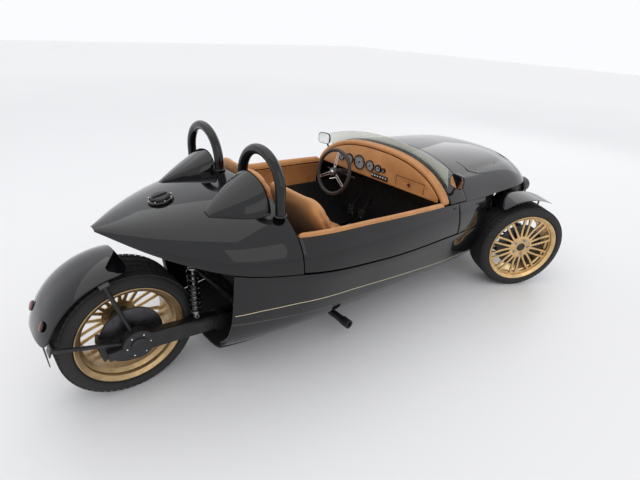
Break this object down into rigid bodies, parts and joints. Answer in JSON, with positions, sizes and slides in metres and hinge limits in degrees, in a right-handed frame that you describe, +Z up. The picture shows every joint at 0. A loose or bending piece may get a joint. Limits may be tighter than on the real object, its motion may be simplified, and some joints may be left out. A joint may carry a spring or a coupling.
{
  "type": "open three-wheeled two-seat roadster",
  "caption": "Open two-seat roadster with a pointed tail: exposed steered front wheels under cycle fenders, a central rear wheel on a swing arm, doors, low screen.",
  "frame": {"origin": "middle of the whole vehicle on the ground, as parked with the front wheels turned 32 degrees right", "axes": "+X forwards, +Y to the left, +Z up"},
  "size_m": [3.6386, 2.0383, 1.2219],
  "materials": {
    "body_paint": "gloss black paint",
    "black_metal": "satin black coating",
    "tan_leather": "tan grained leather",
    "black_plastic": "satin black plastic",
    "bare_metal": "dull bare metal",
    "grip_leather": "dark grained leather",
    "screen_glass": "clear, faintly green",
    "brake_iron": "machined iron",
    "rim_gold": "satin gold paint",
    "tyre_rubber": "matt black rubber",
    "lamp_red": "clear red plastic"
  },
  "bodies": {
    "body": {"floor_pan": "black_metal", "side_panels": "body_paint", "tail_deck": "body_paint", "headrest_fairings": "body_paint", "roll_hoops": "black_metal", "fuel_cap": "black_metal", "bulkheads": "black_metal", "cowl": "body_paint", "front_quarter_panels": "body_paint", "hood": "body_paint", "nose_cowl": "body_paint", "grille": "black_metal", "headlights": "black_plastic", "cowl_trim": "tan_leather", "dash_panel": "tan_leather", "instruments": "black_plastic", "steering_column": "black_metal", "windscreen": "screen_glass", "mirrors": "black_plastic", "seat_bases": "black_metal", "seat_cushions": "tan_leather", "seat_backs": "tan_leather", "centre_tunnel": "black_plastic", "driver_controls": "bare_metal", "front_subframe": "black_metal", "engine_block": "bare_metal", "wishbones": "black_metal", "front_dampers": "black_metal", "driveshafts": "bare_metal", "rear_frame": "black_metal", "swing_arm": "black_metal", "rear_damper": "black_metal", "rear_fender": "body_paint", "fender_struts": "black_metal", "plate_bracket": "black_metal", "tail_lights": "lamp_red", "exhaust": "black_metal"},
    "steered_right": {"knuckle_right": "bare_metal", "front_fender_right": "body_paint"},
    "steered_left": {"knuckle_left": "bare_metal", "front_fender_left": "body_paint"},
    "wheel_right": {"front_brake_right": "brake_iron", "front_rim_right": "rim_gold", "front_tyre_right": "tyre_rubber"},
    "wheel_left": {"front_brake_left": "brake_iron", "front_rim_left": "rim_gold", "front_tyre_left": "tyre_rubber"},
    "wheel_rear": {"rear_brake": "brake_iron", "rear_rim": "rim_gold", "rear_tyre": "tyre_rubber"},
    "hand_wheel": {"steering_wheel": "grip_leather"},
    "rack": {"steering_rack": "bare_metal"},
    "right_door": {"door_right": "body_paint", "door_rail_right": "tan_leather"},
    "left_door": {"door_left": "body_paint", "door_rail_left": "tan_leather"},
    "glovebox": {"glovebox_lid": "tan_leather"}
  },
  "joints": [
    {"name": "steer_right", "type": "hinge", "parent": "body", "child": "steered_right", "pos_m": [1.19731, -0.7525, 0.322], "axis": [0, 0, 1], "range_deg": [-3, 67]},
    {"name": "steer_left", "type": "hinge", "parent": "body", "child": "steered_left", "pos_m": [1.19731, 0.7525, 0.322], "axis": [0, 0, 1], "range_deg": [-3, 67]},
    {"name": "front_wheel_right_spin", "type": "hinge", "parent": "steered_right", "child": "wheel_right", "pos_m": [1.19731, -0.7525, 0.322], "axis": [0.5299, 0.848, 0], "continuous": true},
    {"name": "front_wheel_left_spin", "type": "hinge", "parent": "steered_left", "child": "wheel_left", "pos_m": [1.19731, 0.7525, 0.322], "axis": [0.5299, 0.848, 0], "continuous": true},
    {"name": "rear_wheel_spin", "type": "hinge", "parent": "body", "child": "wheel_rear", "pos_m": [-1.44269, 0, 0.328], "axis": [0, 1, 0], "continuous": true},
    {"name": "steering_wheel_turn", "type": "hinge", "parent": "body", "child": "hand_wheel", "pos_m": [0.20331, 0.256, 0.765], "axis": [-0.9703, 0, 0.2419], "range_deg": [-42, 938]},
    {"name": "steering_rack_slide", "type": "slide", "parent": "body", "child": "rack", "axis": [0, 1, 0], "range_m": [-0.124, 0.006]},
    {"name": "door_right_swing", "type": "hinge", "parent": "body", "child": "right_door", "pos_m": [0.51031, -0.66342, 0.6], "axis": [0, 0, 1], "range_deg": [0, 65]},
    {"name": "door_left_swing", "type": "hinge", "parent": "body", "child": "left_door", "pos_m": [0.51031, 0.66342, 0.6], "axis": [0, 0, -1], "range_deg": [0, 65]},
    {"name": "glovebox_lid_swing", "type": "hinge", "parent": "body", "child": "glovebox", "pos_m": [0.35231, -0.322, 0.7743], "axis": [0, -1, 0], "range_deg": [0, 80]}
  ],
  "couplings": [
    {"joint": "steer_left", "follows": "steer_right", "ratio": 1},
    {"joint": "steering_wheel_turn", "follows": "steer_right", "ratio": 14},
    {"joint": "steering_rack_slide", "follows": "steer_right", "m_per_rad": -0.1044}
  ]
}
